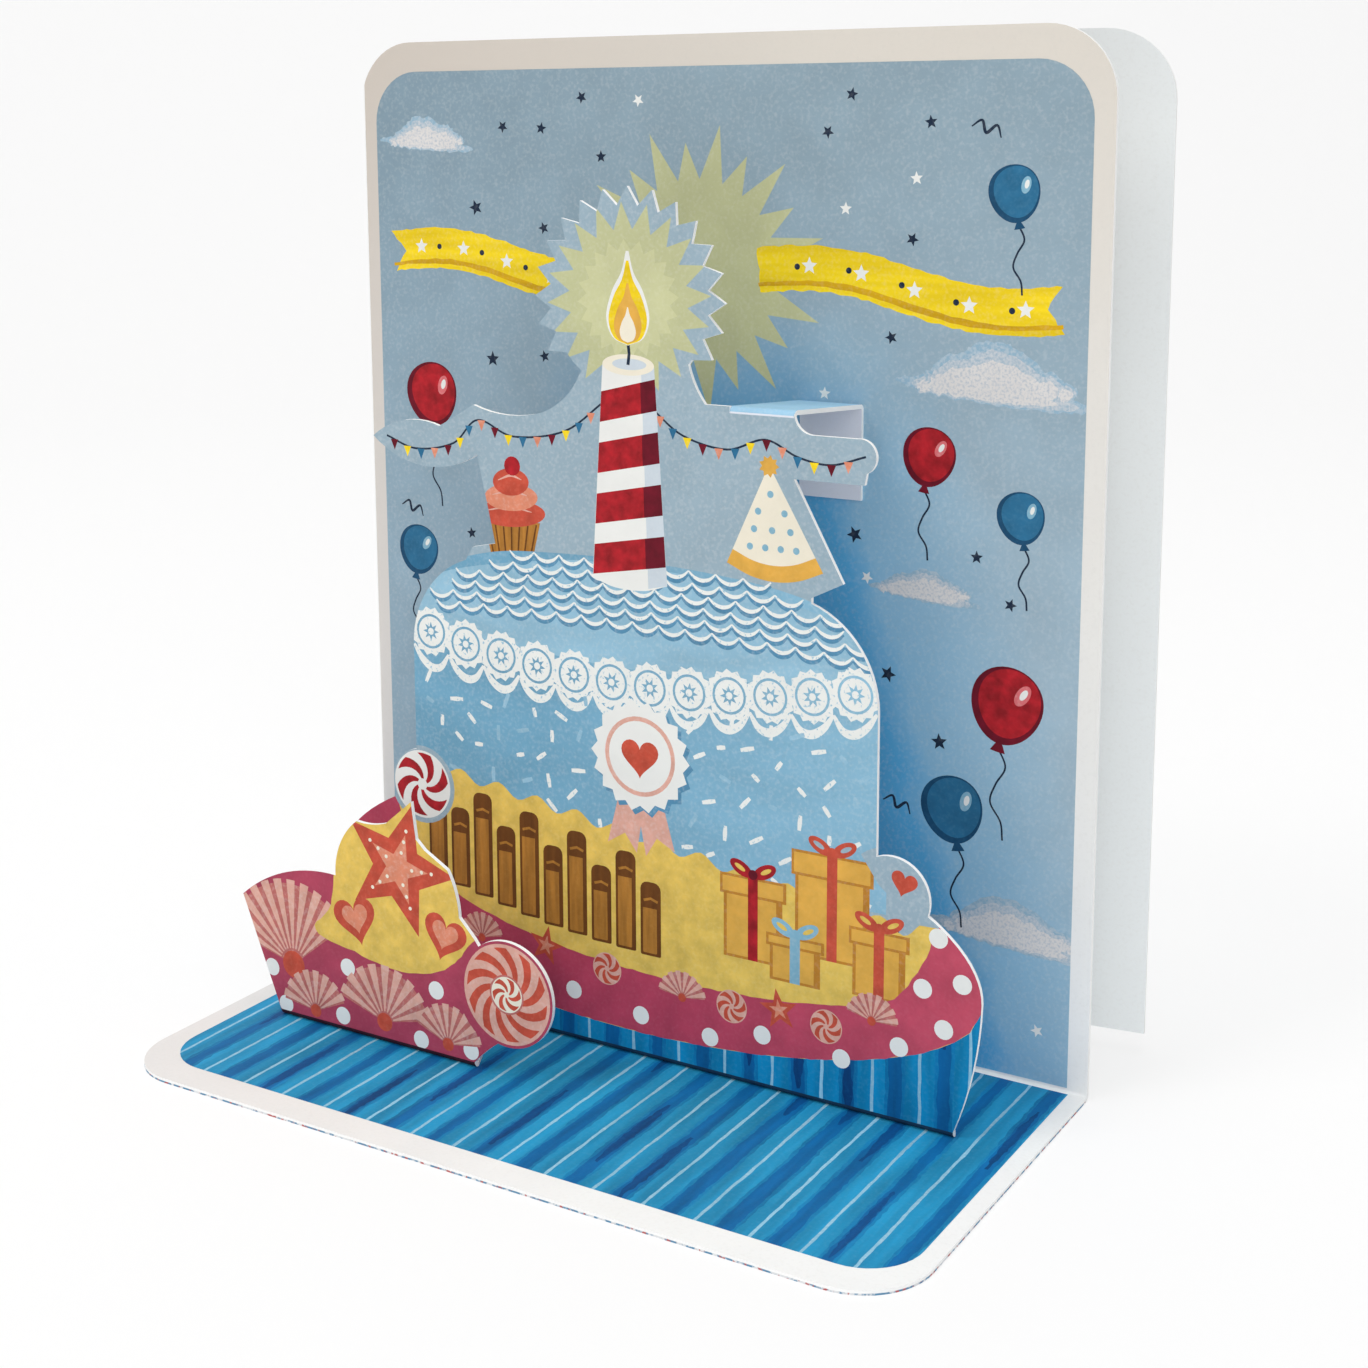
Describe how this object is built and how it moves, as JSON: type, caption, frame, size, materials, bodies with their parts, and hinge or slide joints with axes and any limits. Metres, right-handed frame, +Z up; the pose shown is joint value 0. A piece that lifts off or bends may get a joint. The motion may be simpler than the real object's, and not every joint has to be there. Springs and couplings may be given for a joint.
{
  "type": "pop up card",
  "caption": "Greeting card standing open, with an upright back panel, a striped base, a plain rear leaf and two die-cut layers that rise as it is opened",
  "frame": {"origin": "centre of the base panel's underside, the face that the card stands on", "axes": "+Z up along the back panel, +Y towards the back panel and the rear leaf, +X to the right seen from the front"},
  "size_m": [0.1287, 0.0825, 0.15],
  "materials": {
    "printed_card": "matt printed card with a cream border",
    "layer_print": "matt printed card with white cut edges",
    "front_print": "matt printed card with white cut edges",
    "plain_card": "bare matt card"
  },
  "bodies": {
    "root": {"folded_card": "printed_card", "tall_layer": "layer_print", "front_layer": "front_print", "layer_strut": "plain_card"}
  },
  "joints": []
}
